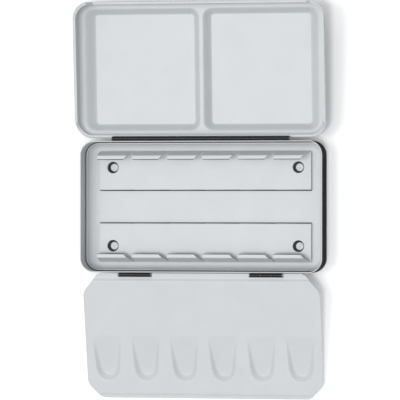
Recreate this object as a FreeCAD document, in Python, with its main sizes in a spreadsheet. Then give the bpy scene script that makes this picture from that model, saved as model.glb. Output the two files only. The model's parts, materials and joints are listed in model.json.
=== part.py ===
"""Watercolour tin for twelve half pans, open: base with a clip rack, lid with mixing wells, folding flap.

Frame: origin at the centre of the base's underside, +Z up, +X along the hinges, +Y towards the lid.
The lid is modelled closed and the flap level; each is then swung to its open place about its hinge.
"""
import FreeCAD, Part
import math
import os

import Sketcher

Vector = FreeCAD.Vector
Rotation = FreeCAD.Rotation

# Driving dimensions in millimetres and degrees, one spreadsheet row each. Counts have a row too.
SIZES = {
    # drawn steel base
    "base_length": 130.0,
    "base_width": 69.2,
    "base_height": 14.5,
    "sheet": 0.5,
    "base_corner": 7.5,
    "base_edge": 2.0,
    # dished tray that carries the clip rails
    "tray_gap_x": 0.6,
    "tray_gap_y": 0.5,
    "tray_underside": 1.1,
    "tray_top": 4.8,
    "tray_bend": 3.2,
    # clip rails
    "pan_pitch": 19.0,
    "pans_per_row": 6.0,
    "rail_width": 20.5,
    "rail_channel": 16.6,
    "rail_top": 3.3,
    "rail_bend": 0.8,
    "clip_sheet": 0.4,
    "clip_rise": 5.7,
    "clip_lean": 2.1,
    "clip_lip": 1.4,
    "clip_root": 18.8,
    "clip_tip": 14.2,
    "clip_cut_foot": 0.3,
    "clip_cut_head": 0.5,
    "stud_pitch_x": 100.0,
    "stud_shift_x": 0.75,
    "hole_shift_x": 0.2,
    "stud_y": 20.7,
    "stud_hole": 6.2,
    "stud_head": 4.4,
    "stud_top": 2.1,
    # hinges
    "hinge_rise": 0.2,
    "hinge_out": 1.2,
    "knuckle": 2.2,
    "pin": 1.0,
    "pin_play": 0.05,
    "knuckle_gap": 0.3,
    "leaf_sheet": 0.4,
    "leaf_depth": 5.2,
    "leaf_relief": 1.3,
    "leaf_rolled_sheet": 0.35,
    "leaf_neck": 0.28,
    "pin_end": 0.2,
    "peen": 1.5,
    "lid_knuckle_pitch": 19.0,
    "flap_knuckle_pitch": 5.7,
    "flap_hinge_x": 35.2,
    # lid
    "lid_length": 132.6,
    "lid_front": 35.35,
    "lid_corner": 8.2,
    "lid_skirt_bottom": 11.5,
    "lid_ledge": 20.0,
    "lid_floor": 25.0,
    "lid_edge": 2.4,
    "lid_front_bottom": 16.2,
    "lid_back_bottom": 14.9,
    "front_relief_top": 56.8,
    "front_relief_foot": 60.0,
    "front_relief_depth": 2.0,
    "back_relief_top": 4.1,
    "back_relief_foot": 11.0,
    "relief_margin": 1.0,
    "bead": 1.05,
    "bead_depth": 1.5,
    "well_mouth_near": 0.8,
    "well_mouth_far": 62.8,
    "well_mouth_front": 32.5,
    "well_mouth_back": 32.0,
    "well_floor_near": 4.8,
    "well_floor_far": 57.6,
    "well_floor_front": 29.0,
    "well_floor_back": 28.5,
    "well_corner": 5.0,
    "ridge_wall": 0.25,
    "panel_wall": 0.45,
    "mouth_overlap": 0.01,
    "lid_open_angle": 176.5,
    # folding mixing flap
    "flap_length": 67.0,
    "flap_width": 127.0,
    "flap_near": 0.75,
    "flap_notch": 1.25,
    "flap_notch_margin": 0.6,
    "flap_strip_drop": 0.15,
    "flap_step": 1.0,
    "flap_step_start": 2.2,
    "near_cut_x": 8.3,
    "near_cut_y": 10.0,
    "far_cut_x": 7.3,
    "far_cut_y": 8.0,
    "flap_lip": 2.8,
    "flap_lip_drop": 0.5,
    "thumb_wells": 6.0,
    "thumb_pitch": 20.8,
    "thumb_width": 12.6,
    "thumb_start": 35.5,
    "thumb_deep": 53.5,
    "thumb_end": 58.5,
    "thumb_depth": 2.5,
    "thumb_rise": 0.05,
    "flap_droop": 12.5,
}


class Size:
    """A length known both as a number and as the spreadsheet formula that gives it."""

    def __init__(self, value, formula):
        self.value = value
        self.formula = formula

    def combine(self, other, sign, value):
        formula = other.formula if isinstance(other, Size) else repr(float(other))
        return Size(value, "(%s %s %s)" % (self.formula, sign, formula))

    def __add__(self, other):
        return self.combine(other, "+", self.value + number(other))

    def __sub__(self, other):
        return self.combine(other, "-", self.value - number(other))

    def __mul__(self, other):
        return self.combine(other, "*", self.value * number(other))

    def __truediv__(self, other):
        return self.combine(other, "/", self.value / number(other))

    def __neg__(self):
        return Size(-self.value, "(0 - %s)" % self.formula)


def number(length):
    return length.value if isinstance(length, Size) else float(length)


def size(name):
    return Size(SIZES[name], "Sizes." + name)


def make_sheet(doc):
    sheet = doc.addObject("Spreadsheet::Sheet", "Sizes")
    for row, (name, value) in enumerate(SIZES.items(), start=1):
        sheet.set("A%d" % row, name)
        sheet.set("B%d" % row, str(value))
        sheet.setAlias("B%d" % row, name)
    doc.recompute()
    return sheet


def bind(item, name, length):
    """Set a property, by formula when the length comes from the sheet."""
    if isinstance(length, Size):
        item.setExpression(name, length.formula)
    else:
        setattr(item, name, length)


# Sketches

def plane(body, role):
    return next(f for f in body.Origin.OriginFeatures if f.Role == role)


def sketch_on(body, name, role, height=0.0):
    """A sketch on one of the body's own planes, moved along the plane's normal by height."""
    sketch = body.newObject("Sketcher::SketchObject", name)
    sketch.AttachmentSupport = [(plane(body, role), "")]
    sketch.MapMode = "FlatFace"
    if isinstance(height, Size):
        bind(sketch, ".AttachmentOffset.Base.z", height)
    return sketch


def pin_coordinate(sketch, kind, edge, length):
    """Hold one coordinate of an edge's start point at a sheet length."""
    index = sketch.addConstraint(Sketcher.Constraint(kind, edge, 1, number(length)))
    if isinstance(length, Size):
        sketch.setExpression("Constraints[%d]" % index, length.formula)


def polygon(sketch, corners):
    """A closed outline of straight edges through corners given as (x, y) sizes."""
    points = [Vector(number(x), number(y), 0) for x, y in corners]
    first = sketch.GeometryCount
    count = len(points)
    for i in range(count):
        sketch.addGeometry(Part.LineSegment(points[i], points[(i + 1) % count]), False)
    for i in range(count):
        sketch.addConstraint(Sketcher.Constraint("Coincident", first + i, 2, first + (i + 1) % count, 1))
    for i, (x, y) in enumerate(corners):
        pin_coordinate(sketch, "DistanceX", first + i, x)
        pin_coordinate(sketch, "DistanceY", first + i, y)


def rectangle(sketch, left, right, bottom, top):
    polygon(sketch, [(left, bottom), (right, bottom), (right, top), (left, top)])


def rounded_rectangle(sketch, left, right, bottom, top, radius):
    """Four sides and four tangent corner arcs, all held by the five sizes given."""
    x0, x1, y0, y1, r = (number(v) for v in (left, right, bottom, top, radius))
    first = sketch.GeometryCount
    sides = [((x0 + r, y0), (x1 - r, y0)), ((x1, y0 + r), (x1, y1 - r)),
             ((x1 - r, y1), (x0 + r, y1)), ((x0, y1 - r), (x0, y0 + r))]
    centres = [(x1 - r, y0 + r), (x1 - r, y1 - r), (x0 + r, y1 - r), (x0 + r, y0 + r)]
    quarter = math.pi / 2
    for i in range(4):
        start, end = sides[i]
        sketch.addGeometry(Part.LineSegment(Vector(*start, 0), Vector(*end, 0)), False)
        circle = Part.Circle(Vector(*centres[i], 0), Vector(0, 0, 1), r)
        sketch.addGeometry(Part.ArcOfCircle(circle, (i - 1) * quarter, i * quarter), False)
    lines = [first, first + 2, first + 4, first + 6]
    arcs = [first + 1, first + 3, first + 5, first + 7]
    for i in range(4):
        sketch.addConstraint(Sketcher.Constraint("Tangent", lines[i], 2, arcs[i], 1))
        sketch.addConstraint(Sketcher.Constraint("Tangent", arcs[i], 2, lines[(i + 1) % 4], 1))
    for line, kind in zip(lines, ("Horizontal", "Vertical", "Horizontal", "Vertical")):
        sketch.addConstraint(Sketcher.Constraint(kind, line))
    for arc in arcs[1:]:
        sketch.addConstraint(Sketcher.Constraint("Equal", arcs[0], arc))
    index = sketch.addConstraint(Sketcher.Constraint("Radius", arcs[0], r))
    if isinstance(radius, Size):
        sketch.setExpression("Constraints[%d]" % index, radius.formula)
    pin_coordinate(sketch, "DistanceY", lines[0], bottom)
    pin_coordinate(sketch, "DistanceX", lines[1], right)
    pin_coordinate(sketch, "DistanceY", lines[2], top)
    pin_coordinate(sketch, "DistanceX", lines[3], left)


def circle(sketch, x, y, diameter):
    centre = Vector(number(x), number(y), 0)
    edge = sketch.addGeometry(Part.Circle(centre, Vector(0, 0, 1), number(diameter) / 2), False)
    for kind, length in (("DistanceX", x), ("DistanceY", y)):
        index = sketch.addConstraint(Sketcher.Constraint(kind, edge, 3, number(length)))
        if isinstance(length, Size):
            sketch.setExpression("Constraints[%d]" % index, length.formula)
    index = sketch.addConstraint(Sketcher.Constraint("Diameter", edge, number(diameter)))
    if isinstance(diameter, Size):
        sketch.setExpression("Constraints[%d]" % index, diameter.formula)


# Features

def new_body(doc, label):
    body = doc.addObject("PartDesign::Body", label)
    body.Label = label
    return body


def pad(body, name, sketch, length, midplane=False, reverse=False):
    feature = body.newObject("PartDesign::Pad", name)
    feature.Profile = sketch
    bind(feature, "Length", length)
    feature.Midplane = midplane
    feature.Reversed = reverse
    return feature


def pocket(body, name, sketch, length, midplane=False, reverse=False):
    feature = body.newObject("PartDesign::Pocket", name)
    feature.Profile = sketch
    bind(feature, "Length", length)
    feature.Midplane = midplane
    feature.Reversed = reverse
    return feature


def pocket_through(body, name, sketch):
    """A pocket that leaves the sketch plane both ways and cuts all that it meets."""
    feature = body.newObject("PartDesign::Pocket", name)
    feature.Profile = sketch
    feature.Type = "ThroughAll"
    feature.Midplane = True
    return feature


def loft(body, name, kind, sections):
    feature = body.newObject("PartDesign::" + kind, name)
    feature.Profile = sections[0]
    feature.Sections = sections[1:]
    feature.Ruled = True
    return feature


def fillet(body, name, base, radius, wanted):
    """Round the edges of base that wanted picks by their mid point and length."""
    body.Document.recompute()
    names = []
    for i, edge in enumerate(base.Shape.Edges, start=1):
        middle = edge.valueAt((edge.FirstParameter + edge.LastParameter) / 2)
        if wanted(middle, edge):
            names.append("Edge%d" % i)
    if not names:
        raise RuntimeError("no edges for " + name)
    feature = body.newObject("PartDesign::Fillet", name)
    feature.Base = (base, names)
    bind(feature, "Radius", radius)
    body.Tip = feature
    return feature


def repeat(body, name, features, direction_role, length, count):
    """A straight row of a feature group along one of the body's axes."""
    pattern = body.newObject("PartDesign::LinearPattern", name)
    pattern.Originals = features
    pattern.Direction = (plane(body, direction_role), [""])
    bind(pattern, "Length", length)
    bind(pattern, "Occurrences", count)
    body.Tip = pattern
    return pattern


def near(a, b):
    return abs(a - b) < 0.02


def swing(axis_y, axis_z, angle):
    """Placement that turns a piece about a line along X through (axis_y, axis_z)."""
    centre = Vector(0, axis_y, axis_z)
    turn = Rotation(Vector(1, 0, 0), angle)
    return FreeCAD.Placement(centre - turn.multVec(centre), turn)


def hinge_height():
    return size("base_height") + size("hinge_rise")


def hinge_distance():
    return size("base_width") / 2 + size("hinge_out")


def lid_open(body):
    body.Placement = swing(hinge_distance().value, hinge_height().value, -SIZES["lid_open_angle"])


def flap_open(body):
    """The flap is drawn about its own hinge line, so it is turned there and then moved out."""
    turn = Rotation(Vector(1, 0, 0), SIZES["flap_droop"])
    body.Placement = FreeCAD.Placement(Vector(0, -hinge_distance().value, hinge_height().value), turn)


# Base and rack

def base_shell(doc):
    """Drawn steel box with a rounded bottom edge and rounded corners."""
    body = new_body(doc, "base_shell")
    half_x = size("base_length") / 2
    half_y = size("base_width") / 2
    sheet = size("sheet")
    outer = sketch_on(body, "BaseOutline", "XY_Plane")
    rounded_rectangle(outer, -half_x, half_x, -half_y, half_y, size("base_corner"))
    pad(body, "BaseBlock", outer, size("base_height"))
    inner = sketch_on(body, "BaseCavityOutline", "XY_Plane", sheet)
    rounded_rectangle(inner, -half_x + sheet, half_x - sheet, -half_y + sheet, half_y - sheet,
                      size("base_corner") - sheet)
    hollow = pocket(body, "BaseCavity", inner, size("base_height"), reverse=True)
    inside = fillet(body, "BaseCavityEdge", hollow, size("base_edge") - sheet,
                    lambda p, e: near(p.z, SIZES["sheet"]))
    fillet(body, "BaseEdge", inside, size("base_edge"), lambda p, e: near(p.z, 0))
    return body


def stud_places(shift):
    """Centres of the four locating studs, or of their holes, for a row of two moved along by shift."""
    half = size("stud_pitch_x") / 2
    return [(x, y) for x in (shift - half, shift + half) for y in (size("stud_y"), -size("stud_y"))]


def pan_tray(doc):
    """Dished sheet that lies in the base and carries the rails."""
    body = new_body(doc, "pan_tray")
    sheet = size("sheet")
    half_x = size("base_length") / 2 - sheet - size("tray_gap_x")
    half_y = size("base_width") / 2 - sheet - size("tray_gap_y")
    corner = size("base_corner") - sheet - size("tray_gap_y")
    underside = size("tray_underside")
    outer = sketch_on(body, "TrayOutline", "XY_Plane", underside)
    rounded_rectangle(outer, -half_x, half_x, -half_y, half_y, corner)
    pad(body, "TrayBlock", outer, size("tray_top") - underside)
    inner = sketch_on(body, "TrayDishOutline", "XY_Plane", underside + sheet)
    rounded_rectangle(inner, -half_x + sheet, half_x - sheet, -half_y + sheet, half_y - sheet,
                      corner - sheet)
    hollow = pocket(body, "TrayDish", inner, size("tray_top"), reverse=True)
    bottom = underside.value
    floor = bottom + SIZES["sheet"]
    inside = fillet(body, "TrayDishBend", hollow, size("tray_bend") - sheet, lambda p, e: near(p.z, floor))
    fillet(body, "TrayBend", inside, size("tray_bend"), lambda p, e: near(p.z, bottom))
    holes = sketch_on(body, "TrayStudHoles", "XY_Plane")
    for x, y in stud_places(size("hole_shift_x")):
        circle(holes, x, y, size("stud_hole"))
    body.Tip = pocket_through(body, "TrayStudPockets", holes)
    return body


def clip_rail(doc, label, side):
    """One rail: a raised channel strip with six spring tongues bent up from its outer edge."""
    body = new_body(doc, label)
    inner_y = size("rail_channel") / 2
    outer_y = inner_y + size("rail_width")
    half_x = size("pan_pitch") * size("pans_per_row") / 2
    top = size("rail_top")
    floor = size("tray_underside") + size("sheet")
    thick = size("clip_sheet")
    rise = top + size("clip_rise")
    knee = outer_y - size("clip_lean")
    tip = knee - size("clip_lip")

    def facing(y):
        return y if side > 0 else -y

    strip = sketch_on(body, "RailSection", "YZ_Plane")
    polygon(strip, [(facing(inner_y), floor), (facing(inner_y + thick), floor),
                    (facing(inner_y + thick), top - thick), (facing(outer_y), top - thick),
                    (facing(outer_y), top), (facing(inner_y), top)])
    plate = pad(body, "RailStrip", strip, half_x * 2, midplane=True)
    fillet(body, "RailBend", plate, size("rail_bend"),
           lambda p, e: near(abs(p.y), inner_y.value) and near(p.z, SIZES["rail_top"]))
    tongue_section = sketch_on(body, "TongueSection", "YZ_Plane", -half_x)
    polygon(tongue_section, [(facing(outer_y), top - thick), (facing(outer_y), top),
                             (facing(knee + thick), rise), (facing(tip), rise),
                             (facing(tip), rise - thick), (facing(knee), rise - thick),
                             (facing(outer_y - thick), top), (facing(outer_y - thick), top - thick)])
    tongue = pad(body, "Tongue", tongue_section, size("clip_root"))
    slant = sketch_on(body, "TongueSlant", "XZ_Plane")
    start = -half_x
    above = rise + thick
    polygon(slant, [(start + size("clip_root"), top + size("clip_cut_foot")),
                    (start + size("clip_root"), above), (start + size("clip_tip"), above),
                    (start + size("clip_tip"), rise - size("clip_cut_head"))])
    cut = pocket_through(body, "TongueCut", slant)
    repeat(body, "TongueRow", [tongue, cut], "X_Axis",
           size("pan_pitch") * (size("pans_per_row") - 1), size("pans_per_row"))
    holes = sketch_on(body, "RailStudHoles", "XY_Plane")
    for x, y in stud_places(size("hole_shift_x")):
        if y.value * side > 0:
            circle(holes, x, y, size("stud_hole"))
    body.Tip = pocket(body, "RailStudPockets", holes, rise, reverse=True)
    return body


def locating_studs(doc):
    """Four headed studs on the base's floor that the rack drops over."""
    body = new_body(doc, "locating_studs")
    floor = size("sheet")
    for i, (x, y) in enumerate(stud_places(size("stud_shift_x"))):
        disc = sketch_on(body, "StudCircle%d" % i, "XY_Plane", floor)
        circle(disc, x, y, size("stud_head"))
        pad(body, "Stud%d" % i, disc, size("stud_top") - floor)
    return body


# Lid

def lid_shell(doc):
    """Stamped lid, drawn closed: skirt, ledge and two deep mixing wells with a ridge between them."""
    body = new_body(doc, "lid_shell")
    sheet = size("sheet")
    half_x = size("lid_length") / 2
    front = -size("lid_front")
    back = size("base_width") / 2
    low = size("lid_skirt_bottom")
    ledge = size("lid_ledge")
    floor = size("lid_floor")
    bead = size("bead")
    outer = sketch_on(body, "LidOutline", "XY_Plane", low)
    rounded_rectangle(outer, -half_x, half_x, front, back, size("lid_corner"))
    pad(body, "LidBlock", outer, ledge + sheet - low)
    inner = sketch_on(body, "LidCavityOutline", "XY_Plane", low)
    rounded_rectangle(inner, -half_x + sheet, half_x - sheet, front + sheet, back - sheet,
                      size("lid_corner") - sheet)
    cavity = pocket(body, "LidCavity", inner, ledge - low, reverse=True)
    under = ledge.value
    inside = fillet(body, "LidCavityEdge", cavity, size("lid_edge") - sheet, lambda p, e: near(p.z, under))
    crown = under + SIZES["sheet"]
    fillet(body, "LidEdge", inside, size("lid_edge"), lambda p, e: near(p.z, crown))
    for side, name in ((-1, "Left"), (1, "Right")):
        mouth = well_section(body, "%sPanelFoot" % name, side, ledge, "mouth", size("ridge_wall"))
        top = well_section(body, "%sPanelTop" % name, side, floor + sheet, "floor", size("panel_wall"))
        loft(body, "%sPanel" % name, "AdditiveLoft", [mouth, top])
    for side, name in ((-1, "Left"), (1, "Right")):
        mouth = well_section(body, "%sWellMouth" % name, side, ledge - size("mouth_overlap"), "mouth")
        bottom = well_section(body, "%sWellFloor" % name, side, floor, "floor")
        loft(body, "%sWell" % name, "SubtractiveLoft", [mouth, bottom])
    ring = sketch_on(body, "BeadOutline", "XY_Plane", low)
    rounded_rectangle(ring, -half_x - bead, half_x + bead, front - bead, back, size("lid_corner") + bead)
    rounded_rectangle(ring, -half_x + sheet / 2, half_x - sheet / 2, front + sheet / 2, back - sheet / 2,
                      size("lid_corner") - sheet / 2)
    pad(body, "Bead", ring, size("bead_depth"))
    front_edge = size("lid_front_bottom")
    back_edge = size("lid_back_bottom")
    margin = size("relief_margin")
    under = low - margin
    front_relief = sketch_on(body, "FrontRelief", "XZ_Plane", bead + margin - front)
    polygon(front_relief, [(-size("front_relief_foot"), under), (size("front_relief_foot"), under),
                           (size("front_relief_top"), front_edge), (-size("front_relief_top"), front_edge)])
    pocket(body, "FrontCut", front_relief, bead + margin + size("front_relief_depth"))
    back_relief = sketch_on(body, "BackRelief", "YZ_Plane")
    polygon(back_relief, [(back - size("back_relief_foot"), under), (back + margin, under),
                          (back + margin, back_edge), (back - size("back_relief_top"), back_edge)])
    pocket_through(body, "BackCut", back_relief)
    lip = sketch_on(body, "FrontLipOutline", "XY_Plane", front_edge)
    reach = half_x - size("lid_corner")
    rectangle(lip, -reach, reach, front - bead, front + sheet / 2)
    body.Tip = pad(body, "FrontLip", lip, size("bead_depth"))
    lid_open(body)
    return body


def well_section(body, name, side, height, level, ridge_wall=None):
    """Outline of one mixing well at its mouth or floor. With a ridge wall it is the sheet's outer face:
    a full sheet wider on three sides and by the ridge wall on the side next to the other well."""
    outline_near = size("well_%s_near" % level)
    outline_far = size("well_%s_far" % level)
    front = size("well_%s_front" % level)
    back = size("well_%s_back" % level)
    corner = size("well_corner")
    if ridge_wall is not None:
        sheet = size("sheet")
        outline_near = outline_near - ridge_wall
        outline_far = outline_far + sheet
        front = front + sheet
        back = back + sheet
        corner = corner + sheet
    sketch = sketch_on(body, name, "XY_Plane", height)
    left = outline_near if side > 0 else -outline_far
    right = outline_far if side > 0 else -outline_near
    rounded_rectangle(sketch, left, right, -front, back, corner)
    return sketch


# Hinges, drawn about their own line: Y and Z are measured from the hinge axis

def knuckle_span(index, pitch, count):
    """Left end and length of one knuckle in a row centred on X = 0."""
    left = pitch * (index - count / 2) + size("knuckle_gap") / 2
    return left, pitch - size("knuckle_gap")


def barrel(body, name, shift, index, pitch, count, bore):
    """One knuckle: a tube about the hinge line."""
    left, length = knuckle_span(index, pitch, count)
    tube = sketch_on(body, name + "Ring", "YZ_Plane", shift + left)
    circle(tube, 0.0, 0.0, size("knuckle"))
    circle(tube, 0.0, 0.0, bore)
    return pad(body, name, tube, length)


def wall_leaf(doc, label, shift, pitch, count, own, side, up, bore):
    """A leaf that lies on a wall's outer face, with its knuckles at the wall's edge."""
    body = new_body(doc, label)
    thick = size("leaf_sheet")
    face = size("hinge_out")
    far = size("leaf_depth") * up
    half = pitch * (count / 2)
    relief = size("leaf_relief") * up
    start = face - thick if side > 0 else -face
    plate = sketch_on(body, "LeafPlate", "XZ_Plane", start)
    rectangle(plate, shift - half, shift + half, far, relief)
    pad(body, "Leaf", plate, thick)
    for index in own:
        left, length = knuckle_span(index, pitch, count)
        neck = sketch_on(body, "Neck%dOutline" % index, "XZ_Plane", start)
        rectangle(neck, shift + left, shift + left + length, relief, size("hinge_rise") / 2 * up)
        pad(body, "Neck%d" % index, neck, thick)
        body.Tip = barrel(body, "Knuckle%d" % index, shift, index, pitch, count, bore)
    return body


def hinge_pin(doc, label, shift, half):
    """A pin with peened ends that stand just past the outer knuckles."""
    body = new_body(doc, label)
    core = sketch_on(body, "PinCircle", "YZ_Plane", shift)
    circle(core, 0.0, 0.0, size("pin"))
    pad(body, "PinRod", core, (half + size("pin_end")) * 2, midplane=True)
    for name, place in (("Left", shift - half - size("knuckle_gap")), ("Right", shift + half)):
        end = sketch_on(body, "%sPeenCircle" % name, "YZ_Plane", place)
        circle(end, 0.0, 0.0, size("peen"))
        body.Tip = pad(body, "%sPeen" % name, end, size("knuckle_gap"))
    return body


def place_on_axis(body, side):
    body.Placement = FreeCAD.Placement(Vector(0, side * hinge_distance().value, hinge_height().value),
                                       Rotation())


def lid_hinge(doc):
    """Five-knuckle hinge at the back: three knuckles on the base, two on the lid."""
    pitch = size("lid_knuckle_pitch")
    centred = Size(0.0, "0")
    base_leaf = wall_leaf(doc, "lid_hinge_base_leaf", centred, pitch, 5, (0, 2, 4), 1, -1, size("pin"))
    place_on_axis(base_leaf, 1)
    lid_leaf = wall_leaf(doc, "lid_hinge_lid_leaf", centred, pitch, 5, (1, 3), 1, 1,
                         size("pin") + size("pin_play") * 2)
    axis = FreeCAD.Placement(Vector(0, hinge_distance().value, hinge_height().value), Rotation())
    opened = FreeCAD.Placement(Vector(), Rotation(Vector(1, 0, 0), -SIZES["lid_open_angle"]))
    lid_leaf.Placement = axis.multiply(opened)
    pin = hinge_pin(doc, "lid_hinge_pin", centred, pitch * 5 / 2)
    place_on_axis(pin, 1)
    return [base_leaf, lid_leaf, pin]


def flap_leaf(doc, label, shift, pitch):
    """A leaf rolled from under the flap: tangent to its knuckle, then stepped up under the plate."""
    body = new_body(doc, label)
    thick = size("leaf_rolled_sheet")
    low = -(size("knuckle") / 2)
    under_plate = size("flap_step") - size("flap_strip_drop") - size("sheet")
    rise = under_plate - thick - low
    start = size("flap_step_start")
    half = pitch * 3 / 2
    end = start + rise + size("leaf_depth")

    def bent(name, near_y, x0, length):
        section = sketch_on(body, name + "Section", "YZ_Plane", x0)
        polygon(section, [(near_y, low), (-start, low), (-start - rise, low + rise), (-end, low + rise),
                          (-end, low + rise + thick), (-start - rise, low + rise + thick),
                          (-start, low + thick), (near_y, low + thick)])
        return pad(body, name, section, length)

    bent("Leaf", -size("leaf_relief"), shift - half, half * 2)
    left, length = knuckle_span(1, pitch, 3)
    bent("Neck", -size("leaf_neck"), shift + left, length)
    body.Tip = barrel(body, "Knuckle", shift, 1, pitch, 3, size("pin") + size("pin_play") * 2)
    flap_open(body)
    return body


def flap_hinge(doc, name, side):
    """One of the two small three-knuckle hinges at the front."""
    pitch = size("flap_knuckle_pitch")
    shift = size("flap_hinge_x") * float(side)
    base_leaf = wall_leaf(doc, "flap_hinge_%s_base_leaf" % name, shift, pitch, 3, (0, 2), -1, -1,
                          size("pin"))
    place_on_axis(base_leaf, -1)
    moving = flap_leaf(doc, "flap_hinge_%s_flap_leaf" % name, shift, pitch)
    pin = hinge_pin(doc, "flap_hinge_%s_pin" % name, shift, pitch * 3 / 2)
    place_on_axis(pin, -1)
    return [base_leaf, moving, pin]


def mixing_flap(doc):
    """Folding palette, drawn level about its hinge line: a stepped plate with six thumb wells."""
    body = new_body(doc, "mixing_flap")
    sheet = size("sheet")
    strip_top = -size("flap_strip_drop")
    plate_top = strip_top + size("flap_step")
    start = size("flap_step_start")
    bend = start + size("flap_step")
    far = size("flap_length")
    lip = far - size("flap_lip")
    drop = size("flap_lip_drop")
    half = size("flap_width") / 2
    section = sketch_on(body, "FlapSection", "YZ_Plane")
    near_y = size("flap_near")
    polygon(section, [(near_y, strip_top), (-start, strip_top), (-bend, plate_top),
                      (-lip, plate_top), (-far, plate_top - drop), (-far, plate_top - drop - sheet),
                      (-lip, plate_top - sheet), (-bend, plate_top - sheet), (-start, strip_top - sheet),
                      (near_y, strip_top - sheet)])
    pad(body, "FlapSheet", section, half * 2, midplane=True)
    deep = size("thumb_deep")
    end = size("thumb_end")
    depth = size("thumb_depth")
    span = size("thumb_pitch") * (size("thumb_wells") - 1)
    left = -span / 2 - size("thumb_width") / 2
    bulge = sketch_on(body, "ThumbBulgeSection", "YZ_Plane", left - sheet)
    polygon(bulge, [(-size("thumb_start") + sheet, plate_top - sheet / 2), (-deep, plate_top - depth - sheet),
                    (-end + sheet, plate_top - depth - sheet), (-end - sheet, plate_top - sheet / 2)])
    shell = pad(body, "ThumbBulge", bulge, size("thumb_width") + sheet * 2)
    repeat(body, "ThumbBulges", [shell], "X_Axis", span, size("thumb_wells"))
    dip = sketch_on(body, "ThumbWellSection", "YZ_Plane", left)
    open_top = plate_top + size("thumb_rise")
    polygon(dip, [(-size("thumb_start"), open_top), (-size("thumb_start"), plate_top),
                  (-deep, plate_top - depth), (-end + sheet * 2, plate_top - depth),
                  (-end, plate_top), (-end, open_top)])
    well = pocket(body, "ThumbWell", dip, size("thumb_width"), reverse=True)
    repeat(body, "ThumbWells", [well], "X_Axis", span, size("thumb_wells"))
    corners = sketch_on(body, "CornerCuts", "XY_Plane")
    clear = size("relief_margin")
    for side in (1, -1):
        edge = half * side
        outside = (half + clear) * side
        for end, away, cut_x, cut_y in ((near_y, clear, size("near_cut_x"), -size("near_cut_y")),
                                        (-far, -clear, size("far_cut_x"), size("far_cut_y"))):
            inside = (half - cut_x) * side
            polygon(corners, [(inside, end), (inside, end + away), (outside, end + away),
                              (outside, end + cut_y), (edge, end + cut_y)])
        notch = size("flap_knuckle_pitch") * 3 / 2 + size("flap_notch_margin")
        hinge_x = size("flap_hinge_x") * side
        rectangle(corners, hinge_x - notch, hinge_x + notch, -size("flap_notch"), near_y + clear)
    body.Tip = pocket_through(body, "CornerCut", corners)
    flap_open(body)
    return body


def build():
    doc = FreeCAD.newDocument("WatercolourTin")
    make_sheet(doc)
    parts = [
        base_shell(doc),
        pan_tray(doc),
        clip_rail(doc, "back_clip_rail", 1),
        clip_rail(doc, "front_clip_rail", -1),
        locating_studs(doc),
        lid_shell(doc),
        mixing_flap(doc),
    ]
    parts += lid_hinge(doc)
    parts += flap_hinge(doc, "left", -1)
    parts += flap_hinge(doc, "right", 1)
    doc.recompute()
    check(doc, parts)
    os.makedirs("parts", exist_ok=True)
    for part in parts:
        part.Shape.exportStep("parts/%s.step" % part.Label)
    return parts


def check(doc, parts):
    """Stop on any failed feature or bad shape, before a file is written."""
    failed = [item.Name for item in doc.Objects if "Invalid" in item.State or "Error" in item.State]
    if failed:
        raise RuntimeError("failed features: " + ", ".join(failed))
    for part in parts:
        if part.Shape.isNull() or not part.Shape.isValid() or not part.Shape.Solids:
            raise RuntimeError("bad shape: " + part.Label)
        box = part.Shape.BoundBox
        print("%-28s solids %d volume %8.1f  x %.2f..%.2f  y %.2f..%.2f  z %.2f..%.2f" % (
            part.Label, len(part.Shape.Solids), part.Shape.Volume,
            box.XMin, box.XMax, box.YMin, box.YMax, box.ZMin, box.ZMax))


build()
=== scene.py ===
import json
import math

import bmesh
import bpy
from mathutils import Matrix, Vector


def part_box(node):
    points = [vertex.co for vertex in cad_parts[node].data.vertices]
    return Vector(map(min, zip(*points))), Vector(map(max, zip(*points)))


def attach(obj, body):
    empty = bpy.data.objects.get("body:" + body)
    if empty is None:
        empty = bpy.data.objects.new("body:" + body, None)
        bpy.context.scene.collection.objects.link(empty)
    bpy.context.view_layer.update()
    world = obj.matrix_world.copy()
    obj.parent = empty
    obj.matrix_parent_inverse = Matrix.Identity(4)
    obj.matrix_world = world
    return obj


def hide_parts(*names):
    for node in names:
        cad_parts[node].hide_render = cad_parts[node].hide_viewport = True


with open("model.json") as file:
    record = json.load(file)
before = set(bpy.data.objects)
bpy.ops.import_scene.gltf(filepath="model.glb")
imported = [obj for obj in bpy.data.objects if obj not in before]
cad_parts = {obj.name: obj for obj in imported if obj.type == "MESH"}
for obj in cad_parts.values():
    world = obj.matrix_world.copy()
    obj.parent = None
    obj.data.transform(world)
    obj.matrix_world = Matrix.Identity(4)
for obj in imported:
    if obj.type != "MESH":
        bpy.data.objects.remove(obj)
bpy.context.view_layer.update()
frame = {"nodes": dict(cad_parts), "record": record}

# Pieces are shaped in millimetres, most of them about their own hinge line, and then set down in metres.
MM = 0.001
JOINTS = {joint["name"]: joint for joint in frame["record"]["behaviour"]["joints"]}

# Stamped lid, lying open: X along the hinge, Y away from it, Z up, all from the hinge line.
LID_HALF = 65.8
LID_BACK = 1.7
LID_FRONT = 70.65
LID_RIM = 3.2
LID_PANEL = -5.3
LID_FLOOR = -10.3
LID_CORNER = 7.7
LID_EDGE = 1.9
BEND_STEPS = 5
CORNER_STEPS = 14
WELL_STEPS = 10
SHEET = 0.5
RIM_DIP_FRONT = 4.7
RIM_DIP_FRONT_SPAN = (60.0, 56.8)
RIM_DIP_BACK = 5.0
RIM_DIP_BACK_SPAN = (13.0, 4.3)
DIP_STEPS = 8
BEAD_RADIUS = 0.75
BEAD_OUT = 0.78
BEAD_SINK = 0.05
BEAD_BLACK_BELOW = -0.45

# A well's outlines: nearest and furthest X, nearest and furthest Y, corner radius.
WELL_MOUTH = (0.8, 62.8, 3.8, 68.3, 5.0)
WELL_FLOOR = (4.8, 57.6, 7.3, 64.8, 1.6)

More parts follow.
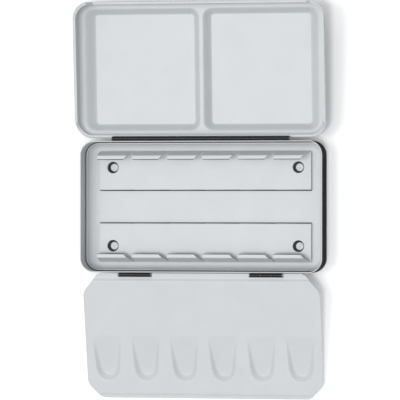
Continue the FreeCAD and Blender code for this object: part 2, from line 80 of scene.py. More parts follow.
# Drawn base.
BASE_CORNER = 7.5
BASE_EDGE = 2.0
BASE_RIM_ROUND = 0.15

# Folding palette, level: Y runs from the hinge line towards -Y.
FLAP_HALF = 63.5
FLAP_NEAR = 0.75
FLAP_NOTCH = -1.25
FLAP_NOTCH_SPAN = (26.05, 44.35)
FLAP_FAR = -67.0
FLAP_STRIP = -0.15
FLAP_STEP = 1.0
FLAP_STEP_NEAR = -1.9
FLAP_STEP_FAR = -3.4
FLAP_LIP = -64.4
FLAP_LIP_BEND = 1.0
FLAP_LIP_DROP = 0.5
FLAP_NEAR_CUT = (8.3, 10.0)
FLAP_FAR_CUT = (7.3, 8.0)
FLAP_CUT_EASE = 0.5
FLAP_GRID = (254, 136)
THUMB_PITCH = 20.8
THUMB_HALF_OPEN = 7.5
THUMB_HALF_CLOSED = 6.1
THUMB_START = -33.0
THUMB_END = -57.5
THUMB_DEPTH = 2.4
THUMB_WALL = 0.85
THUMB_RAMP = 1.12
THUMB_SOFT = 0.35

# Clip rails, in the frame's own place.
CLIP_PITCH = 19.0
CLIPS = 6
CLIP_RISE = 5.7
CLIP_LEAN = 2.1
CLIP_LIP = 1.4
CLIP_ROOT = 18.8
CLIP_FOLD = 16.0
CLIP_TIP = 14.2
CLIP_HEM = (0.15, 0.45)
CLIP_SHEET = 0.4
CLIP_BEND = 0.2
CLIP_BEND_STEPS = 2
FLANGE_LEAN = 0.55
FLANGE_BEND = 0.5
FLANGE_BEND_STEPS = 4
# Below this depth under the rail's top, the inner flange is painted dark as shade.
FLANGE_SHADE_BELOW = 0.25
HOLE = 6.2
HOLE_SHIFT = 0.55

# Locating studs: the frame's head radius places them, and the drawn head is a little smaller.
STUD_RADIUS = 2.2
STUD_HEAD = 2.05
STUD_ROUND = 0.25
STUD_RIM = 0.35
STUD_DISH = 0.12
STUD_FACE = 1.1
STUD_MARK = 0.15
STUD_MARK_DEPTH = 0.1
# A dark ring round each stud, painted shade for the gap in the rail's hole.
SHADE_RING_RADIUS = 3.05
SHADE_RING_TOP = 1.5
SHADE_RING_TUCK = 0.1
SHADE_RING_ROUND = 0.15


# Working by hand in edit mode

def linear(hex_colour):
    """A shader colour from an sRGB hex value."""
    channels = [int(hex_colour[i:i + 2], 16) / 255 for i in (1, 3, 5)]
    return tuple(c / 12.92 if c <= 0.04045 else ((c + 0.055) / 1.055) ** 2.4 for c in channels) + (1.0,)


def start_box(name, x, y, z):
    """A box primitive between the given pairs of faces, left open in edit mode."""
    bpy.ops.object.select_all(action="DESELECT")
    bpy.ops.mesh.primitive_cube_add(size=1)
    piece = bpy.context.object
    piece.name = name
    piece.data.name = name
    bpy.ops.object.mode_set(mode="EDIT")
    bpy.ops.mesh.select_all(action="SELECT")
    bpy.ops.transform.resize(value=(x[1] - x[0], y[1] - y[0], z[1] - z[0]), center_override=(0, 0, 0))
    bpy.ops.transform.translate(value=((x[0] + x[1]) / 2, (y[0] + y[1]) / 2, (z[0] + z[1]) / 2))
    return piece


def middle(part):
    """The middle of a face or an edge."""
    points = [v.co for v in part.verts]
    return sum(points, Vector()) / len(points)


def choose(kind, wanted):
    """Select only the faces, edges or corners of the open mesh that wanted says yes to."""
    bpy.ops.mesh.select_all(action="DESELECT")
    bpy.ops.mesh.select_mode(type=kind)
    mesh = bmesh.from_edit_mesh(bpy.context.edit_object.data)
    parts = {"FACE": mesh.faces, "EDGE": mesh.edges, "VERT": mesh.verts}[kind]
    chosen = [part for part in parts if wanted(part)]
    for part in chosen:
        part.select_set(True)
    mesh.select_flush_mode()
    bmesh.update_edit_mesh(bpy.context.edit_object.data)
    if not chosen:
        raise RuntimeError("nothing chosen on " + bpy.context.edit_object.name)


def close(a, b, slack=0.02):
    """Whether two lengths agree to within slack, in millimetres."""
    return abs(a - b) < slack


def cut_line(kind, wanted, point, normal, clear_outer=False):
    """Bisect the chosen part of the open mesh."""
    choose(kind, wanted)
    bpy.ops.mesh.bisect(plane_co=point, plane_no=normal, clear_outer=clear_outer)


def round_edges(wanted, width, segments):
    """Bevel the edges that wanted says yes to."""
    choose("EDGE", wanted)
    bpy.ops.mesh.bevel(offset=width, segments=segments, profile=0.5, affect="EDGES")


def add_modifier(piece, kind, **settings):
    """Add a modifier with its settings and apply it."""
    modifier = piece.modifiers.new(kind.title(), kind)
    for name, value in settings.items():
        setattr(modifier, name, value)
    bpy.ops.object.select_all(action="DESELECT")
    piece.select_set(True)
    bpy.context.view_layer.objects.active = piece
    bpy.ops.object.modifier_apply(modifier=modifier.name)


def settle(piece, turn, place):
    """Shrink a piece from millimetres to metres, turn it about the X line through zero and set it down."""
    bpy.ops.object.select_all(action="DESELECT")
    piece.select_set(True)
    bpy.context.view_layer.objects.active = piece
    bpy.ops.object.mode_set(mode="EDIT")
    bpy.ops.mesh.select_all(action="SELECT")
    bpy.ops.transform.resize(value=(MM, MM, MM), center_override=(0, 0, 0))
    if turn:
        bpy.ops.transform.rotate(value=math.radians(turn), orient_axis="X", center_override=(0, 0, 0))
    bpy.ops.transform.translate(value=place)
    bpy.ops.object.mode_set(mode="OBJECT")


def join(pieces):
    """Join pieces into the first."""
    bpy.ops.object.select_all(action="DESELECT")
    for piece in pieces:
        piece.select_set(True)
    bpy.context.view_layer.objects.active = pieces[0]
    bpy.ops.object.join()
    return pieces[0]


def smooth(piece, degrees):
    """Shade smooth up to that angle, with the large flat faces setting the normals."""
    bpy.ops.object.select_all(action="DESELECT")
    piece.select_set(True)
    bpy.context.view_layer.objects.active = piece
    bpy.ops.object.shade_smooth_by_angle(angle=math.radians(degrees))
    add_modifier(piece, "WEIGHTED_NORMAL", keep_sharp=True, weight=80)


def smooth_step(t):
    """An S-shaped rise from 0 to 1 as t goes from 0 to 1, level outside that."""
    t = min(1.0, max(0.0, t))
    return t * t * (3 - 2 * t)


# Materials

def add(tree, kind, links=(), **settings):
    """Add a node, set its sockets and settings by name, and link (socket, source) pairs into it."""
    node = tree.nodes.new(kind)
    for name, value in settings.items():
        if hasattr(node, name):
            setattr(node, name, value)
        else:
            node.inputs[name.replace("_", " ")].default_value = value
    for socket, source in links:
        tree.links.new(source, node.inputs[socket])
    return node


def new_material(name):
    """An empty node material."""
    material = bpy.data.materials.new(name)
    material.use_nodes = True
    material.node_tree.nodes.clear()
    return material


def stoved_enamel(name, light, dark, gloss, peel_mm, peel_height, sheen):
    """Sprayed and baked paint on tinplate: even colour with faint clouds, and the soft ripple of orange peel
    that breaks up the edges of reflections."""
    cloud_mm, rub_mm, rub_spread = 14, 5, 0.2
    material = new_material(name)
    tree = material.node_tree
    place = add(tree, "ShaderNodeTexCoord").outputs["Object"]
    clouds = add(tree, "ShaderNodeTexNoise", [("Vector", place)], Scale=1 / (cloud_mm * MM), Detail=3.0)
    tint = add(tree, "ShaderNodeValToRGB", [("Fac", clouds.outputs["Fac"])])
    tint.color_ramp.elements[0].position = 0.3
    tint.color_ramp.elements[0].color = linear(dark)
    tint.color_ramp.elements[1].position = 0.7
    tint.color_ramp.elements[1].color = linear(light)
    rub = add(tree, "ShaderNodeTexNoise", [("Vector", place)], Scale=1 / (rub_mm * MM), Detail=4.0)
    rough = add(tree, "ShaderNodeMapRange", [("Value", rub.outputs["Fac"])])
    rough.inputs["To Min"].default_value = gloss * (1 - rub_spread)
    rough.inputs["To Max"].default_value = gloss * (1 + rub_spread)
    peel = add(tree, "ShaderNodeTexNoise", [("Vector", place)], Scale=1 / (peel_mm * MM), Detail=1.0)
    bump = add(tree, "ShaderNodeBump", [("Height", peel.outputs["Fac"])], Strength=0.35)
    bump.inputs["Distance"].default_value = peel_height * MM
    shader = add(tree, "ShaderNodeBsdfPrincipled", [("Base Color", tint.outputs["Color"]),
                                                   ("Roughness", rough.outputs["Result"]),
                                                   ("Normal", bump.outputs["Normal"])], IOR=1.5)
    shader.inputs["Specular IOR Level"].default_value = sheen
    add(tree, "ShaderNodeOutputMaterial", [("Surface", shader.outputs["BSDF"])])
    return material


def drawn_steel():
    """Drawn steel wire, cut and peened: dull grey metal with fine rings from the draw plate."""
    ring_mm, ring_depth_mm = 0.6, 0.02
    material = new_material("drawn_steel_wire")
    tree = material.node_tree
    place = add(tree, "ShaderNodeTexCoord").outputs["Object"]
    rings = add(tree, "ShaderNodeTexWave", [("Vector", place)], Scale=1 / (ring_mm * MM),
                Distortion=2.0, Detail=2.0)
    tint = add(tree, "ShaderNodeValToRGB", [("Fac", rings.outputs["Fac"])])
    tint.color_ramp.elements[0].color = linear("#6f7073")
    tint.color_ramp.elements[1].color = linear("#8d8e90")
    bump = add(tree, "ShaderNodeBump", [("Height", rings.outputs["Fac"])], Strength=0.2)
    bump.inputs["Distance"].default_value = ring_depth_mm * MM
    shader = add(tree, "ShaderNodeBsdfPrincipled", [("Base Color", tint.outputs["Color"]),
                                                   ("Normal", bump.outputs["Normal"])],
                 Metallic=1.0, Roughness=0.38)
    add(tree, "ShaderNodeOutputMaterial", [("Surface", shader.outputs["BSDF"])])
    return material


def matt_paper():
    """Seamless background paper on a light table: pale, without gloss, with a very faint tooth and glow."""
    tooth_mm = 3
    material = new_material("background_paper")
    tree = material.node_tree
    place = add(tree, "ShaderNodeTexCoord").outputs["Object"]
    tooth = add(tree, "ShaderNodeTexNoise", [("Vector", place)], Scale=1 / (tooth_mm * MM), Detail=4.0)
    tint = add(tree, "ShaderNodeValToRGB", [("Fac", tooth.outputs["Fac"])])
    tint.color_ramp.elements[0].color = linear("#f9fafa")
    tint.color_ramp.elements[1].color = linear("#ffffff")
    shader = add(tree, "ShaderNodeBsdfPrincipled", [("Base Color", tint.outputs["Color"])], Roughness=1.0)
    shader.inputs["Specular IOR Level"].default_value = 0.0
    shader.inputs["Emission Color"].default_value = linear("#ffffff")
    shader.inputs["Emission Strength"].default_value = 0.16
    add(tree, "ShaderNodeOutputMaterial", [("Surface", shader.outputs["BSDF"])])
    return material


# Pieces

def wall_face(face):
    """Whether a face belongs to the upright part of the lid's skirt."""
    return abs(face.normal.z) < 0.1 and middle(face).z > LID_PANEL + LID_EDGE * 0.9


def dip_back_rim():
    """Lower the rim towards the hinge, so that the skirt clears the base's back wall."""
    far, near = RIM_DIP_BACK_SPAN
    for step in range(DIP_STEPS + 1):
        y = far + (near - far) * step / DIP_STEPS
        cut_line("FACE", lambda f: wall_face(f) and middle(f).y < LID_BACK + LID_CORNER * 2,
                 (0, y, 0), (0, 1, 0))
    mesh = bmesh.from_edit_mesh(bpy.context.edit_object.data)
    for corner in mesh.verts:
        if close(corner.co.z, LID_RIM):
            corner.co.z -= RIM_DIP_BACK * smooth_step((far - corner.co.y) / (far - near))
    bmesh.update_edit_mesh(bpy.context.edit_object.data)


def dip_front_rim():
    """Lower the middle of the front rim, which closes over the flap and its hinges."""
    far, near = RIM_DIP_FRONT_SPAN
    for side in (-1, 1):
        for step in range(DIP_STEPS + 1):
            x = side * (far + (near - far) * step / DIP_STEPS)
            cut_line("FACE", lambda f: wall_face(f) and middle(f).y > LID_FRONT - LID_CORNER,
                     (x, 0, 0), (1, 0, 0))
    mesh = bmesh.from_edit_mesh(bpy.context.edit_object.data)
    for corner in mesh.verts:
        if close(corner.co.z, LID_RIM) and corner.co.y > LID_FRONT - LID_CORNER / 2:
            corner.co.z -= RIM_DIP_FRONT * smooth_step((far - abs(corner.co.x)) / (far - near))
    bmesh.update_edit_mesh(bpy.context.edit_object.data)


def start_plate(outline, z, name=None):
    """A flat face with round corners, left selected in edit mode. It joins the open mesh, if there is one,
    and is otherwise the start of a new piece of that name."""
    x, y, corner = outline[:2], outline[2:4], outline[4]
    piece = bpy.context.edit_object
    if piece is None:
        bpy.ops.object.select_all(action="DESELECT")
        bpy.ops.mesh.primitive_plane_add(size=1)
        piece = bpy.context.object
        piece.name = name
        piece.data.name = name
        bpy.ops.object.mode_set(mode="EDIT")
        bpy.ops.mesh.select_all(action="SELECT")
    else:
        bpy.ops.mesh.select_all(action="DESELECT")
        bpy.ops.mesh.primitive_plane_add(size=1)
    bpy.ops.transform.resize(value=(x[1] - x[0], y[1] - y[0], 1), center_override=(0, 0, 0))
    bpy.ops.transform.translate(value=((x[0] + x[1]) / 2, (y[0] + y[1]) / 2, z))
    bpy.ops.mesh.bevel(offset=corner, segments=CORNER_STEPS, profile=0.5, affect="VERTICES")
    return piece


def draw_down(was, now, fall):
    """Press the selected face down by fall while its outline goes from was to now.
    An outline is its left and right X, its near and far Y, and its corner radius."""
    bpy.ops.mesh.extrude_region_move(TRANSFORM_OT_translate={"value": (0, 0, -fall)})
    mesh = bmesh.from_edit_mesh(bpy.context.edit_object.data)
    mid_x, mid_y = (was[0] + was[1]) / 2, (was[2] + was[3]) / 2
    for corner in mesh.verts:
        if corner.select:
            right, back = corner.co.x > mid_x, corner.co.y > mid_y
            for axis, low, high, past in ((0, 0, 1, right), (1, 2, 3, back)):
                old = was[high] - was[4] if past else was[low] + was[4]
                new = now[high] - now[4] if past else now[low] + now[4]
                corner.co[axis] = new + (corner.co[axis] - old) * now[4] / was[4]
    bmesh.update_edit_mesh(bpy.context.edit_object.data)


def draw_bend(outline, radius):
    """Press the selected face down through a quarter bend of that radius."""
    was = outline
    for step in range(1, BEND_STEPS + 1):
        turn, before = (math.pi / 2 * s / BEND_STEPS for s in (step, step - 1))
        inset = radius * (1 - math.cos(turn))
        left, right, near, far, corner = outline
        now = (left + inset, right - inset, near + inset, far - inset, corner - inset)
        draw_down(was, now, radius * (math.sin(turn) - math.sin(before)))
        was = now


def lid_well(side):
    """Sink one mixing well into the lid's panel: sloping sides, round corners and soft bends."""
    mouth, floor = WELL_MOUTH, WELL_FLOOR
    if side < 0:
        mouth, floor = ((-x1, -x0, y0, y1, corner) for x0, x1, y0, y1, corner in (mouth, floor))
    start_plate(mouth, LID_PANEL)
    was = mouth
    for step in range(1, WELL_STEPS + 1):
        t = step / WELL_STEPS
        now = tuple(m + (f - m) * t for m, f in zip(mouth, floor))
        draw_down(was, now, (LID_PANEL - LID_FLOOR) * (well_fall(t) - well_fall(t - 1 / WELL_STEPS)))
        was = now


def well_fall(t):
    """The share of its depth that a well's side has fallen at a share t of the way in: a straight slope
    with soft bends at both ends."""
    soft = 0.6
    return soft * smooth_step(t) + (1 - soft) * t


def stamped_lid():
    """The open lid: one stamped sheet with a skirt, a narrow ledge and two mixing wells, and a rolled rim."""
    outline = (-LID_HALF, LID_HALF, LID_BACK, LID_FRONT, LID_CORNER)
    lid = start_plate(outline, LID_RIM, "lid_stamped_shell")
    draw_down(outline, outline, LID_RIM - LID_PANEL - LID_EDGE)
    draw_bend(outline, LID_EDGE)
    bpy.ops.mesh.delete(type="ONLY_FACE")
    for side in (-1, 1):
        lid_well(side)
    choose("FACE", lambda f: close(abs(f.normal.z), 1)
           and (close(middle(f).z, LID_RIM) or close(middle(f).z, LID_PANEL)))
    bpy.ops.mesh.delete(type="ONLY_FACE")
    choose("EDGE", lambda e: e.is_boundary and close(middle(e).z, LID_PANEL))
    bpy.ops.mesh.fill(use_beauty=True)
    dip_back_rim()
    dip_front_rim()
    choose("EDGE", lambda e: e.is_boundary)
    bpy.ops.mesh.duplicate()
    bpy.ops.mesh.separate(type="SELECTED")
    bpy.ops.object.mode_set(mode="OBJECT")
    rim = next(o for o in bpy.context.selected_objects if o is not lid)
    rim.name = "lid_rim"
    bead = rolled_bead(rim)
    for piece in (lid, bead):
        piece.data.materials.append(WHITE)
        piece.data.materials.append(BLACK)
    for face in bead.data.polygons:
        face.material_index = 0 if face.normal.z > BEAD_BLACK_BELOW else 1
    add_modifier(lid, "SOLIDIFY", thickness=SHEET, offset=-1.0, material_offset=1)
    join([lid, bead])
    hinge = JOINTS["lid_hinge"]
    settle(lid, -(180 - hinge["range_deg"][1]), hinge["pos_m"])
    smooth(lid, 40)
    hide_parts("lid_shell")
    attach(lid, "lid")
    return lid


def drawn_base():
    """The base: a deep drawn box with a rounded foot, white inside and black outside."""
    low, high = (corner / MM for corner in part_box("base_shell"))
    inside = (low.x + SHEET, high.x - SHEET, low.y + SHEET, high.y - SHEET, BASE_CORNER - SHEET)
    base = start_plate(inside, high.z, "base_drawn_box")
    bend = BASE_EDGE - SHEET
    draw_down(inside, inside, high.z - low.z - SHEET - bend)
    draw_bend(inside, bend)
    choose("FACE", lambda f: close(abs(f.normal.z), 1) and close(middle(f).z, high.z))
    bpy.ops.mesh.delete(type="ONLY_FACE")
    bpy.ops.object.mode_set(mode="OBJECT")
    base.data.materials.append(WHITE)
    base.data.materials.append(BLACK)
    add_modifier(base, "SOLIDIFY", thickness=SHEET, offset=-1.0, material_offset=1)
    add_modifier(base, "BEVEL", width=BASE_RIM_ROUND, segments=2,
                 limit_method="ANGLE", angle_limit=math.radians(60))
    settle(base, 0, (0, 0, 0))
    smooth(base, 40)
    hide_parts("base_shell")
    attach(base, "base")
    return base


def rolled_bead(rim):
    """Turn the separated rim into a round bead that follows it, a little outside the skirt."""
    bpy.ops.object.select_all(action="DESELECT")
    rim.select_set(True)
    bpy.context.view_layer.objects.active = rim
    bpy.ops.object.mode_set(mode="EDIT")
    bpy.ops.mesh.select_all(action="SELECT")
    half_y = (LID_FRONT - LID_BACK) / 2
    bpy.ops.transform.resize(value=((LID_HALF + BEAD_OUT) / LID_HALF, (half_y + BEAD_OUT) / half_y, 1),
                             center_override=(0, (LID_FRONT + LID_BACK) / 2, 0))
    bpy.ops.transform.translate(value=(0, 0, BEAD_SINK - BEAD_RADIUS))
    bpy.ops.object.mode_set(mode="OBJECT")
    bpy.ops.object.convert(target="CURVE")
    rim.data.bevel_depth = BEAD_RADIUS
    rim.data.bevel_resolution = 3
    bpy.ops.object.convert(target="MESH")
    return bpy.context.object


def thumb_depth(x, y):
    """How deep a thumb well is at a place on the flap: a ramp that sinks towards a round, steep end."""
    along = (THUMB_START - y) / (THUMB_START - THUMB_END)
    if along <= 0 or along >= 1:
        return 0.0
    nearest = (math.floor(x / THUMB_PITCH) + 0.5) * THUMB_PITCH
    across = abs(x - nearest)
    half = THUMB_HALF_OPEN + (THUMB_HALF_CLOSED - THUMB_HALF_OPEN) * along
    centre_y = THUMB_END + THUMB_HALF_CLOSED
    if y > centre_y:
        inside = half - across
    else:
        inside = THUMB_HALF_CLOSED - math.hypot(across, y - centre_y)
    if inside <= 0:
        return 0.0
    ramp = THUMB_DEPTH * min(1.0, along * THUMB_RAMP)
    wall = inside * THUMB_WALL
    blend = max(0.0, THUMB_SOFT - abs(ramp - wall)) / THUMB_SOFT
    return max(0.0, min(ramp, wall) - blend * blend * THUMB_SOFT / 4)


def flap_height(x, y):
    """Top face of the flap's sheet: near strip, step up to the plate, thumb wells and turned-down far lip."""
    step = smooth_step((FLAP_STEP_NEAR - y) / (FLAP_STEP_NEAR - FLAP_STEP_FAR))
    lip = smooth_step((FLAP_LIP - y) / FLAP_LIP_BEND)
    return FLAP_STRIP + FLAP_STEP * step - FLAP_LIP_DROP * lip - thumb_depth(x, y)


def mixing_palette():
    """The folding flap: a thin enamelled sheet with cut corners and six thumb wells."""
    bpy.ops.object.select_all(action="DESELECT")
    bpy.ops.mesh.primitive_grid_add(x_subdivisions=FLAP_GRID[0], y_subdivisions=FLAP_GRID[1], size=1)
    flap = bpy.context.object
    flap.name = "flap_mixing_palette"
    flap.data.name = flap.name
    bpy.ops.object.mode_set(mode="EDIT")
    bpy.ops.mesh.select_all(action="SELECT")
    bpy.ops.transform.resize(value=(FLAP_HALF * 2, FLAP_NEAR - FLAP_FAR, 1), center_override=(0, 0, 0))
    bpy.ops.transform.translate(value=(0, (FLAP_NEAR + FLAP_FAR) / 2, 0))
    mesh = bmesh.from_edit_mesh(flap.data)
    for corner in mesh.verts:
        corner.co.z = flap_height(corner.co.x, corner.co.y)
    bmesh.update_edit_mesh(flap.data)
    choose("FACE", lambda f: FLAP_NOTCH_SPAN[0] < abs(middle(f).x) < FLAP_NOTCH_SPAN[1]
           and middle(f).y > FLAP_NOTCH)
    bpy.ops.mesh.delete(type="FACE")
    for side in (-1, 1):
        trim_corner(side, FLAP_NEAR, 1, FLAP_NEAR_CUT)
        trim_corner(side, FLAP_FAR, -1, FLAP_FAR_CUT)
    bpy.ops.object.mode_set(mode="OBJECT")
    flap.data.materials.append(WHITE)
    add_modifier(flap, "SOLIDIFY", thickness=SHEET, offset=-1.0)
    hinge = JOINTS["flap_hinge"]
    settle(flap, -(hinge["range_deg"][1] - 180), hinge["pos_m"])
    smooth(flap, 50)
    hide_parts("mixing_flap")
    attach(flap, "flap")
    return flap


def trim_corner(side, edge_y, away, cut):
    """Cut one corner of the flap off on a slant, with the slant's two ends eased by a shallower cut each."""
    start = Vector((side * (FLAP_HALF - cut[0]), edge_y, 0))
    end = Vector((side * FLAP_HALF, edge_y - away * cut[1], 0))
    slant = (end - start).normalized()
    outward = Vector((side * abs(slant.y), away * abs(slant.x), 0))
    cut_line("FACE", lambda f: True, start, outward, clear_outer=True)
    for point, edge_normal in ((start, Vector((0, away, 0))), (end, Vector((side, 0, 0)))):
        between = (outward + edge_normal).normalized()
        cut_line("FACE", lambda f: True, point - between * FLAP_CUT_EASE, between, clear_outer=True)


def clip_segment():
    """One pitch of a rail: its length of strip with an inner bend and a sprung tongue on the outer edge.
    The turned-down tongue tips show dark bare metal at their sheared edges; the inner flange below its bend
    is painted dark as shade for the gap where the rail meets the tray."""
    inner, outer, top, floor = RAIL["inner"], RAIL["outer"], RAIL["top"], RAIL["floor"]
    clip = start_box("clip", (0, CLIP_PITCH), (inner, outer), (floor, top))
    choose("FACE", lambda f: not (f.normal.z > 0.9 or f.normal.y < -0.9))
    bpy.ops.mesh.delete(type="FACE")
    cut_line("FACE", lambda f: f.normal.z > 0.9, (CLIP_ROOT, 0, 0), (1, 0, 0))
    choose("EDGE", lambda e: close(middle(e).y, outer) and close(middle(e).x, CLIP_ROOT / 2, 0.3))
    bpy.ops.mesh.extrude_region_move(TRANSFORM_OT_translate={"value": (0, -CLIP_LEAN, CLIP_RISE)})
    bpy.ops.mesh.extrude_region_move(TRANSFORM_OT_translate={"value": (0, -CLIP_LIP, 0)})
    bpy.ops.mesh.extrude_region_move(TRANSFORM_OT_translate={"value": (0, -CLIP_HEM[0], -CLIP_HEM[1])})
    mesh = bmesh.from_edit_mesh(clip.data)
    for corner in mesh.verts:
        if corner.co.z > top + CLIP_RISE / 2 and close(corner.co.x, CLIP_ROOT):
            at_tip = corner.co.y < outer - CLIP_LEAN - CLIP_LIP / 2
            corner.co.x = CLIP_TIP if at_tip else CLIP_FOLD
        if close(corner.co.y, inner) and close(corner.co.z, top):
            corner.co.y += FLANGE_LEAN
    bmesh.update_edit_mesh(clip.data)
    round_edges(lambda e: close(middle(e).y, inner + FLANGE_LEAN) and close(middle(e).z, top),
                FLANGE_BEND, FLANGE_BEND_STEPS)
    round_edges(lambda e: close(middle(e).z, top + CLIP_RISE) and close(middle(e).y, outer - CLIP_LEAN, 0.3)
                and not e.is_boundary, CLIP_BEND, CLIP_BEND_STEPS)
    round_edges(lambda e: close(middle(e).z, top) and close(middle(e).y, outer) and not e.is_boundary,
                CLIP_BEND, CLIP_BEND_STEPS)
    tip = outer - CLIP_LEAN - CLIP_LIP
    # Dark grey faces: the turned-down tongue tips for their bare cut edges, and the inner flange below its
    # bend as painted shade for the gap under the rail.
    choose("FACE", lambda f: middle(f).z < top - FLANGE_SHADE_BELOW
           or (middle(f).y < tip and middle(f).z > top + CLIP_RISE / 2))
    clip.data.materials.append(WHITE)
    clip.data.materials.append(SHEARED_EDGE_AND_SHADE)
    bpy.context.object.active_material_index = 1
    bpy.ops.object.material_slot_assign()
    bpy.ops.object.mode_set(mode="OBJECT")
    return clip


def clip_rail(name, node, side):
    """A rail of six clips, pierced for its two studs."""
    clips = [clip_segment()]
    for index in range(1, CLIPS):
        bpy.ops.object.select_all(action="DESELECT")
        clips[0].select_set(True)
        bpy.context.view_layer.objects.active = clips[0]
        bpy.ops.object.duplicate()
        copy = bpy.context.object
        bpy.ops.object.mode_set(mode="EDIT")
        bpy.ops.mesh.select_all(action="SELECT")
        bpy.ops.transform.translate(value=(CLIP_PITCH * index, 0, 0))
        bpy.ops.object.mode_set(mode="OBJECT")
        clips.append(copy)
    rail = join(clips)
    rail.name = name
    rail.data.name = name
    bpy.ops.object.mode_set(mode="EDIT")
    bpy.ops.mesh.select_all(action="SELECT")
    bpy.ops.mesh.remove_doubles(threshold=0.001)
    bpy.ops.transform.translate(value=(-CLIP_PITCH * CLIPS / 2, 0, 0))
    if side < 0:
        bpy.ops.transform.resize(value=(1, -1, 1), center_override=(0, 0, 0))
    bpy.ops.mesh.normals_make_consistent(inside=False)
    bpy.ops.object.mode_set(mode="OBJECT")
    up = sum(1 if f.normal.z > 0 else -1 for f in rail.data.polygons if abs(f.normal.z) > 0.99)
    if up < 0:
        bpy.ops.object.mode_set(mode="EDIT")
        bpy.ops.mesh.flip_normals()
        bpy.ops.object.mode_set(mode="OBJECT")
    add_modifier(rail, "SOLIDIFY", thickness=CLIP_SHEET, offset=-1.0)
    for x, y in STUDS:
        if y * side > 0:
            pierce(rail, x - HOLE_SHIFT, y)
    settle(rail, 0, (0, 0, 0))
    smooth(rail, 35)
    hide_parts(node)
    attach(rail, "base")
    return rail


def pierce(rail, x, y):
    """Punch one round hole through the rail."""
    bpy.ops.object.select_all(action="DESELECT")
    bpy.ops.mesh.primitive_cylinder_add(vertices=64, radius=HOLE / 2, depth=2.0, location=(x, y, RAIL["top"]))
    punch = bpy.context.object
    add_modifier(rail, "BOOLEAN", operation="DIFFERENCE", object=punch, solver="EXACT")
    bpy.data.objects.remove(punch)


def locating_studs():
    """Four headed studs: a turned disc with a rounded edge, a shallow sunk face and a small centre mark."""
    low, high = STUD_HEIGHTS
    studs = []
    for x, y in STUDS:
        bpy.ops.object.select_all(action="DESELECT")
        bpy.ops.mesh.primitive_cylinder_add(vertices=48, radius=STUD_HEAD, depth=high - low)
        stud = bpy.context.object
        bpy.ops.object.mode_set(mode="EDIT")
        bpy.ops.mesh.select_all(action="SELECT")
        bpy.ops.transform.translate(value=(0, 0, (high + low) / 2))
        round_edges(lambda e: close(e.verts[0].co.z, high) and close(e.verts[1].co.z, high), STUD_ROUND, 3)
        choose("FACE", lambda f: f.normal.z > 0.99 and len(f.verts) > 8)
        bpy.ops.mesh.inset(thickness=STUD_RIM)
        bpy.ops.mesh.inset(thickness=STUD_DISH, depth=-STUD_DISH)
        bpy.ops.mesh.inset(thickness=STUD_FACE)
        bpy.ops.mesh.inset(thickness=STUD_MARK, depth=-STUD_MARK_DEPTH)
        bpy.ops.mesh.select_all(action="SELECT")
        bpy.ops.transform.translate(value=(x, y, 0))
        bpy.ops.object.mode_set(mode="OBJECT")
        stud.data.materials.append(WHITE)
        studs.append(stud)
        # Painted shade: a dark ring in the gap round the stud.
        studs.append(stud_shade_ring(x - HOLE_SHIFT, y, HOLE_SHIFT))
    studs = join(studs)
    studs.name = "base_locating_studs"
    studs.data.name = studs.name
    settle(studs, 0, (0, 0, 0))
    smooth(studs, 35)
    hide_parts("locating_studs")
    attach(studs, "base")
    return studs


def stud_shade_ring(x, y, off_centre):
    """A dark ring under a stud's head, painted shade for the shadowed gap between the stud and the rail's
    hole. The stud sits off the ring's centre and leaves more of it bare on one side, where the shadow falls."""
    low = STUD_HEIGHTS[0]
    bpy.ops.object.select_all(action="DESELECT")
    bpy.ops.mesh.primitive_cylinder_add(vertices=48, radius=SHADE_RING_RADIUS, depth=SHADE_RING_TOP - low)
    shade_ring = bpy.context.object
    bpy.ops.object.mode_set(mode="EDIT")
    bpy.ops.mesh.select_all(action="SELECT")
    bpy.ops.transform.translate(value=(x, y, (SHADE_RING_TOP + low) / 2))
    choose("FACE", lambda f: abs(f.normal.z) > 0.9)
    bpy.ops.mesh.inset(thickness=SHADE_RING_RADIUS - STUD_HEAD + off_centre + SHADE_RING_TUCK)
    bpy.ops.mesh.delete(type="FACE")
    choose("EDGE", lambda e: e.is_boundary)
    bpy.ops.mesh.bridge_edge_loops()
    round_edges(lambda e: all(close(v.co.z, SHADE_RING_TOP)
                              and close(math.hypot(v.co.x - x, v.co.y - y), SHADE_RING_RADIUS)
                              for v in e.verts), SHADE_RING_ROUND, 2)
    bpy.ops.object.mode_set(mode="OBJECT")
    shade_ring.data.materials.append(PAINTED_SHADE_RING)
    return shade_ring


# Studio

def floor_sheet():
    """The paper that the tin lies on, wide enough to fill any view."""
    bpy.ops.object.select_all(action="DESELECT")
    bpy.ops.mesh.primitive_plane_add(size=6)
    sheet = bpy.context.object
    sheet.name = "paper_floor"
    sheet.data.materials.append(matt_paper())


def broad_lamp(name, toward, spread, strength):
    """Even light from a broad, distant source: toward points at the lamp, spread is its width in degrees."""
    bpy.ops.object.light_add(type="SUN", location=toward)
    lamp = bpy.context.object
    lamp.name = name
    lamp.data.angle = math.radians(spread)
    lamp.data.energy = strength
    lamp.rotation_mode = "QUATERNION"
    lamp.rotation_quaternion = (-Vector(toward)).to_track_quat("-Z", "Y")


def studio():
    """A dim room with a brighter ceiling, one broad lamp a little to the left and one overhead."""
    world = bpy.data.worlds.new("studio_air")
    bpy.context.scene.world = world
    world.use_nodes = True
    tree = world.node_tree
    direction = add(tree, "ShaderNodeTexCoord").outputs["Generated"]
    height = add(tree, "ShaderNodeSeparateXYZ", [("Vector", direction)])
    ceiling = add(tree, "ShaderNodeValToRGB", [("Fac", height.outputs["Z"])])
    ceiling.color_ramp.elements[0].color = linear("#5e6062")
    ceiling.color_ramp.elements[1].color = linear("#f2f4f5")
    ceiling.color_ramp.elements[1].position = 0.9
    sky = tree.nodes["Background"]
    tree.links.new(ceiling.outputs["Color"], sky.inputs["Color"])
    sky.inputs["Strength"].default_value = 0.88
    broad_lamp("left_lamp", (-0.8, -0.05, 1.9), 20, 0.7)
    broad_lamp("ceiling_lamp", (0.0, -0.34, 2.0), 12, 0.86)
    bpy.context.scene.view_settings.view_transform = "Standard"


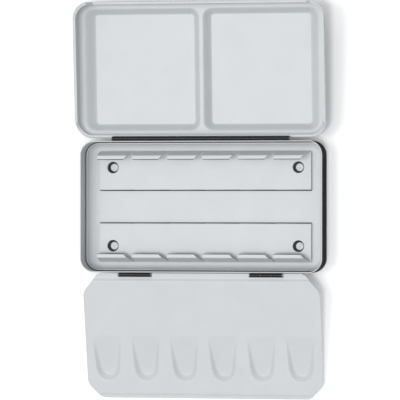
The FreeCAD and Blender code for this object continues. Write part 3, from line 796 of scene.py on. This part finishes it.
def long_lens():
    """A long lens over the tin, leaning to its right."""
    lean = math.radians(12.5)
    aim = Vector((-0.0001, 0.0035, 0.0145))
    distance, view_width, sensor = 2.0, 0.2096, 36
    back = Vector((math.sin(lean), 0, math.cos(lean)))
    bpy.ops.object.camera_add(location=aim + back * distance)
    camera = bpy.context.object
    camera.rotation_euler = (0, lean, 0)
    camera.data.sensor_width = sensor
    camera.data.lens = sensor * distance / view_width
    camera.data.clip_start = 0.05
    camera.data.clip_end = 20
    bpy.context.scene.camera = camera


# Places read from the frame, in millimetres.
rail_low, rail_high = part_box("back_clip_rail")
RAIL = {"inner": rail_low.y / MM, "outer": rail_high.y / MM,
        "floor": rail_low.z / MM, "top": rail_high.z / MM - CLIP_RISE}
studs_low, studs_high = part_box("locating_studs")
STUD_HEIGHTS = (studs_low.z / MM, studs_high.z / MM)
STUDS = [(x, y) for x in (studs_low.x / MM + STUD_RADIUS, studs_high.x / MM - STUD_RADIUS)
         for y in (studs_low.y / MM + STUD_RADIUS, studs_high.y / MM - STUD_RADIUS)]

# Cool white inside: satin, with a soft sheen on the bends and no sharp reflections.
WHITE = stoved_enamel("white_stoved_enamel", "#cbced0", "#c8cbcd", 0.38, 1.6, 0.03, sheen=0.35)
# Outside: near black, and dull enough that the upright walls stay dark beside a white floor.
BLACK = stoved_enamel("black_stoved_lacquer", "#0b0c0c", "#070808", 0.6, 1.4, 0.03, sheen=0.03)
# Hinge leaves and barrels: glossier black, with a highlight along the barrels.
HINGE = stoved_enamel("black_hinge_lacquer", "#070808", "#040404", 0.24, 0.5, 0.002, sheen=0.4)
# Cut edges of the rack's sheet, a dark grey line where the paint stops; on the rails' inner flanges the same
# dark grey is painted shade for the gap under them.
SHEARED_EDGE_AND_SHADE = stoved_enamel("sheared_edge_and_painted_shade", "#3c3d3d", "#2c2d2d", 0.5, 0.4, 0.03, sheen=0.2)
# Rings under the studs: flat dark grey, without gloss, painted shade for the gap round each stud.
PAINTED_SHADE_RING = stoved_enamel("painted_shade_ring", "#484949", "#3c3d3d", 0.8, 0.4, 0.04, sheen=0.1)
STEEL = drawn_steel()

for node, material in (("pan_tray", WHITE),
                       ("lid_hinge_base_leaf", HINGE), ("lid_hinge_lid_leaf", HINGE),
                       ("flap_hinge_left_base_leaf", HINGE), ("flap_hinge_left_flap_leaf", HINGE),
                       ("flap_hinge_right_base_leaf", HINGE), ("flap_hinge_right_flap_leaf", HINGE),
                       ("lid_hinge_pin", STEEL),
                       ("flap_hinge_left_pin", STEEL), ("flap_hinge_right_pin", STEEL)):
    for slot in frame["nodes"][node].material_slots:
        slot.material = material

drawn_base()
stamped_lid()
mixing_palette()
clip_rail("rack_back_rail", "back_clip_rail", 1)
clip_rail("rack_front_rail", "front_clip_rail", -1)
locating_studs()
floor_sheet()
studio()
long_lens()
